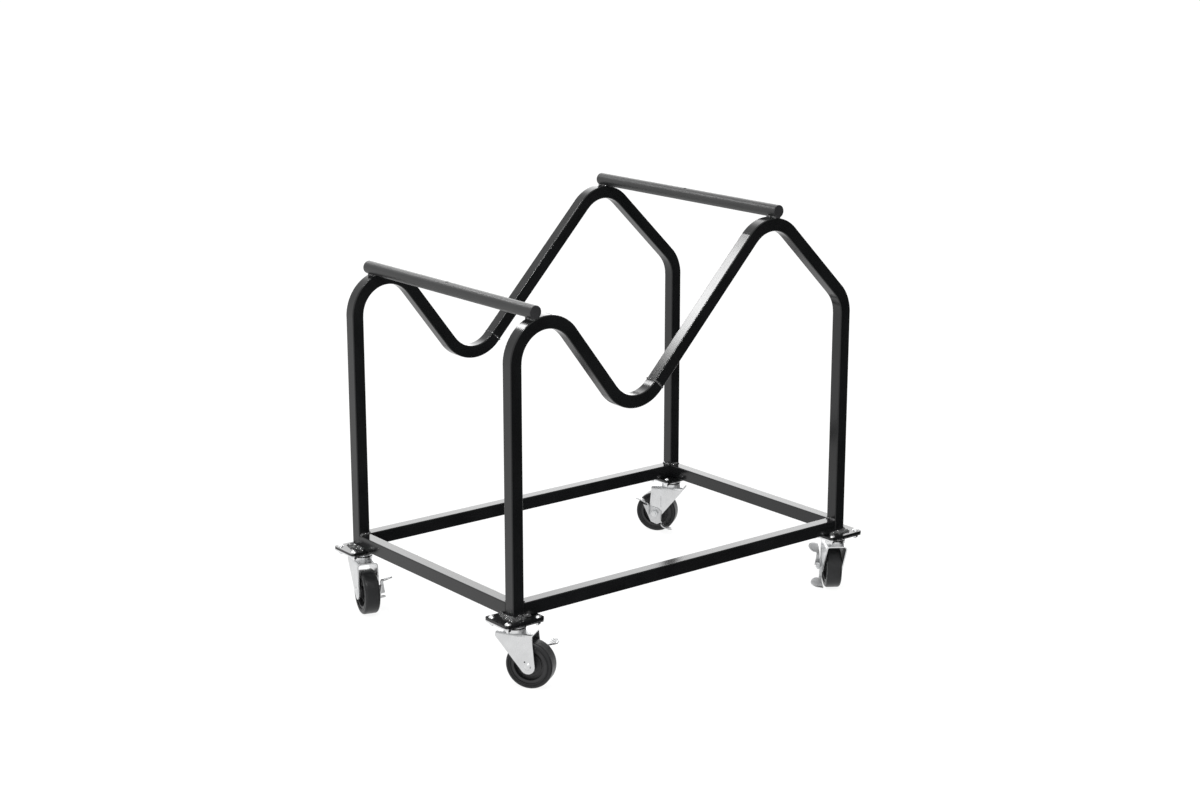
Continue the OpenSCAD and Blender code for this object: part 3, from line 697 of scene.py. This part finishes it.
def thread(shank_r, pitch, length):
    """The ridge of a thread about +Z, rising from the origin and let into its shank"""
    deselect()
    bpy.ops.mesh.primitive_circle_add(
        vertices=4, radius=pitch * RIDGE_SHARE, location=(shank_r - pitch * RIDGE_SUNK_SHARE, 0, 0),
        rotation=(math.pi / 2, 0, 0))
    bpy.ops.object.transform_apply(location=True, rotation=True)
    ridge = bpy.context.object
    turns = max(1, int(length / pitch) - 1)
    apply_modifier(
        ridge, "SCREW", angle=math.tau * turns, screw_offset=pitch * turns,
        steps=STEPS_PER_TURN * turns)
    bpy.ops.object.mode_set(mode="EDIT")
    bpy.ops.mesh.select_mode(type="EDGE")
    bpy.ops.mesh.select_all(action="DESELECT")
    bpy.ops.mesh.select_non_manifold()
    bpy.ops.mesh.edge_face_add()
    bpy.ops.mesh.select_all(action="SELECT")
    bpy.ops.mesh.normals_make_consistent(inside=False)
    bpy.ops.mesh.select_mode(type="VERT")
    bpy.ops.object.mode_set(mode="OBJECT")
    bpy.ops.object.shade_smooth_by_angle(angle=SMOOTH_ANGLE)
    return ridge


def set_copy(pattern, name, place, axis, finish, body):
    """A copy of a small piece at a place, with its +Z along an axis and its +X level"""
    piece = bpy.data.objects.new(name, pattern.data.copy())
    piece.data.name = name
    bpy.context.scene.collection.objects.link(piece)
    level = UP.cross(axis) if abs(axis.z) < 0.9 else ALONG
    turn = Matrix((level.normalized(), axis.cross(level).normalized(), axis)).transposed()
    piece.data.transform(Matrix.Translation(place) @ turn.to_4x4())
    piece.data.materials.clear()
    piece.data.materials.append(bpy.data.materials[finish])
    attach(piece, body)
    return piece


class TROLLEY_OT_plate_nuts(bpy.types.Operator):
    """Puts chamfered nuts and threads on the ends of the plate bolts"""

    bl_idname = "trolley.plate_nuts"
    bl_label = "Plate nuts"

    def execute(self, context):
        fasteners = settings()[2]
        low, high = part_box("plate_nuts")
        end = low.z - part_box("plate_bolts")[0].z
        pitch_x, pitch_y = fasteners.bolt_pitch
        nut = hexagon_nut(fasteners.plate_nut, high.z - low.z, fasteners.plate_bolt_r)
        ridge = thread(fasteners.plate_bolt_r, fasteners.plate_thread, end)
        for corner in CORNERS:
            foot = leg_foot(corner)
            for number in range(4):
                way_x, way_y = (-1, 1)[number % 2], (-1, 1)[number // 2]
                place = foot + ALONG * way_x * pitch_x / 2 + ACROSS * way_y * pitch_y / 2
                place.z = (low.z + high.z) / 2
                name = f"{corner}_plate_nut_{number}"
                piece = set_copy(nut, name, place, UP, "bolt_steel", "frame")
                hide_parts("plate_nuts")
                place.z = low.z
                name = f"{corner}_plate_thread_{number}"
                piece = set_copy(ridge, name, place, -UP, "bolt_steel", "frame")
        bpy.data.meshes.remove(nut.data)
        bpy.data.meshes.remove(ridge.data)
        return {"FINISHED"}


class TROLLEY_OT_axle_nuts(bpy.types.Operator):
    """Puts chamfered nuts and threads on the ends of the axle bolts"""

    bl_idname = "trolley.axle_nuts"
    bl_label = "Axle nuts"

    def execute(self, context):
        fasteners = settings()[2]
        low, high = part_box("front_left_axle_nut")
        nut = hexagon_nut(high.z - low.z, fasteners.axle_nut_h, fasteners.axle_r)
        ridge = thread(fasteners.axle_r, fasteners.axle_end / 2, fasteners.axle_end)
        axes = {joint["name"]: Vector(joint["axis"]) for joint in frame["joints"]}
        for corner in CORNERS:
            axis = axes[f"{corner}_roll"]
            place = middle(f"{corner}_axle_nut")
            body = f"{corner}_castor"
            piece = set_copy(nut, f"{corner}_lock_nut", place, axis, "zinc_plate", body)
            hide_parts(f"{corner}_axle_nut")
            place += axis * fasteners.axle_nut_h / 2
            piece = set_copy(ridge, f"{corner}_axle_thread", place, axis, "zinc_plate", body)
        bpy.data.meshes.remove(nut.data)
        bpy.data.meshes.remove(ridge.data)
        return {"FINISHED"}


# Studio

def lit_floor(name, colour, glow):
    """A pale floor, lit from below, on which shadows stay faint"""
    material = bpy.data.materials.new(name)
    material.use_nodes = True
    shader = material.node_tree.nodes["Principled BSDF"]
    shader.inputs["Base Color"].default_value = (*colour, 1)
    shader.inputs["Roughness"].default_value = 0.9
    shader.inputs["Specular IOR Level"].default_value = 0
    shader.inputs["Emission Color"].default_value = (1, 1, 1, 1)
    shader.inputs["Emission Strength"].default_value = glow
    return material


def white_surround(studio):
    """A white surround with soft patches, lighter or darker, where the coat mirrors them"""
    world = bpy.data.worlds.new("white_surround")
    world.use_nodes = True
    nodes, links = world.node_tree.nodes, world.node_tree.links
    way = nodes.new("ShaderNodeTexCoord").outputs["Generated"]

    def patch(towards, edge, core, amount):
        """A soft patch of the surround round one direction"""
        dot = nodes.new("ShaderNodeVectorMath")
        dot.operation = "DOT_PRODUCT"
        links.new(way, dot.inputs[0])
        dot.inputs[1].default_value = Vector(towards).normalized()
        fade = nodes.new("ShaderNodeMapRange")
        fade.interpolation_type = "SMOOTHSTEP"
        links.new(dot.outputs["Value"], fade.inputs["Value"])
        fade.inputs["From Min"].default_value = edge
        fade.inputs["From Max"].default_value = core
        fade.inputs["To Max"].default_value = amount
        return fade.outputs["Result"]

    total = patch(*BACK_PATCH, studio.back_glow)
    for place, share in (
        (FRONT_PATCH, -studio.flag), (EDGE_PATCH, -studio.edge_flag), (LEG_PATCH, studio.leg_glow)
    ):
        mixed = nodes.new("ShaderNodeMath")
        links.new(total, mixed.inputs[0])
        links.new(patch(*place, share * studio.sky), mixed.inputs[1])
        total = mixed.outputs["Value"]
    strength = nodes.new("ShaderNodeMath")
    links.new(total, strength.inputs[0])
    strength.inputs[1].default_value = studio.sky
    surround = nodes["Background"]
    surround.inputs["Color"].default_value = (1, 1, 1, 1)
    links.new(strength.outputs["Value"], surround.inputs["Strength"])
    return world


def add_softbox(name, place, aim, width, height, power):
    """A soft rectangular light at a place, turned to its aim"""
    light = bpy.data.lights.new(name, "AREA")
    light.shape = "RECTANGLE"
    light.size, light.size_y = width, height
    light.energy = power
    lamp = bpy.data.objects.new(name, light)
    bpy.context.scene.collection.objects.link(lamp)
    lamp.location = place
    lamp.rotation_euler = (Vector(aim) - Vector(place)).to_track_quat("-Z", "Y").to_euler()
    lamp.visible_camera = False
    return lamp


class TROLLEY_OT_studio(bpy.types.Operator):
    """Sets the pale floor and its wall, the soft light and the camera"""

    bl_idname = "trolley.studio"
    bl_label = "Studio"

    def execute(self, context):
        studio = settings()[3]
        scene = context.scene
        deselect()
        bpy.ops.mesh.primitive_circle_add(vertices=96, radius=studio.floor_r, fill_type="NGON")
        floor = context.object
        floor.name = "floor"
        bpy.ops.object.mode_set(mode="EDIT")
        bpy.ops.mesh.extrude_edges_move(TRANSFORM_OT_translate={"value": (0, 0, studio.wall_h)})
        bpy.ops.object.mode_set(mode="OBJECT")
        floor.data.materials.append(lit_floor("pale_floor", (0.16, 0.16, 0.16), studio.floor_glow))
        floor.visible_glossy = False

        scene.world = white_surround(studio)
        add_softbox("softbox", *SOFTBOX, studio.key)
        add_softbox("glint_lamp", GLINT_PLACE, (0, 0, RAIL_TOP), GLINT_SIZE, GLINT_SIZE, studio.glint)

        lens = bpy.data.cameras.new("camera")
        lens.lens = studio.lens
        lens.sensor_width = 36
        lens.sensor_fit = "HORIZONTAL"
        camera = bpy.data.objects.new("camera", lens)
        scene.collection.objects.link(camera)
        camera.location = studio.camera_place
        camera.rotation_euler = (math.pi / 2 - studio.camera_pitch, 0, -studio.camera_yaw)
        scene.camera = camera
        scene.view_settings.view_transform = "Standard"
        return {"FINISHED"}


STEPS = (
    TROLLEY_OT_frame_finish, TROLLEY_OT_castor_finish, TROLLEY_OT_weld_coat, TROLLEY_OT_foot_welds,
    TROLLEY_OT_rail_welds, TROLLEY_OT_bar_welds, TROLLEY_OT_butt_welds, TROLLEY_OT_plate_nuts,
    TROLLEY_OT_axle_nuts, TROLLEY_OT_studio,
)


class TROLLEY_PT_sidebar(bpy.types.Panel):
    """Lists the trolley's settings and steps"""

    bl_idname = "TROLLEY_PT_sidebar"
    bl_label = "Chair trolley"
    bl_space_type = "VIEW_3D"
    bl_region_type = "UI"
    bl_category = "Trolley"

    def draw(self, context):
        for group in settings():
            box = self.layout.box()
            for name in group.__annotations__:
                box.prop(group, name)
        for step in STEPS:
            self.layout.operator(step.bl_idname)


GROUPS = {
    "trolley_finishes": TrolleyFinishes,
    "trolley_welds": TrolleyWelds,
    "trolley_fasteners": TrolleyFasteners,
    "trolley_studio": TrolleyStudio,
}
CLASSES = (*GROUPS.values(), *STEPS, TROLLEY_PT_sidebar)


def register():
    """Registers the classes and hangs the settings on the scene"""
    for cls in CLASSES:
        bpy.utils.register_class(cls)
    for name, group in GROUPS.items():
        setattr(bpy.types.Scene, name, PointerProperty(type=group))


def unregister():
    """Takes the settings and the classes away again"""
    for name in GROUPS:
        delattr(bpy.types.Scene, name)
    for cls in reversed(CLASSES):
        bpy.utils.unregister_class(cls)


def main():
    """Runs every step in order"""
    register()
    for step in STEPS:
        group, name = step.bl_idname.split(".")
        getattr(getattr(bpy.ops, group), name)()


if __name__ == "__main__":
    main()
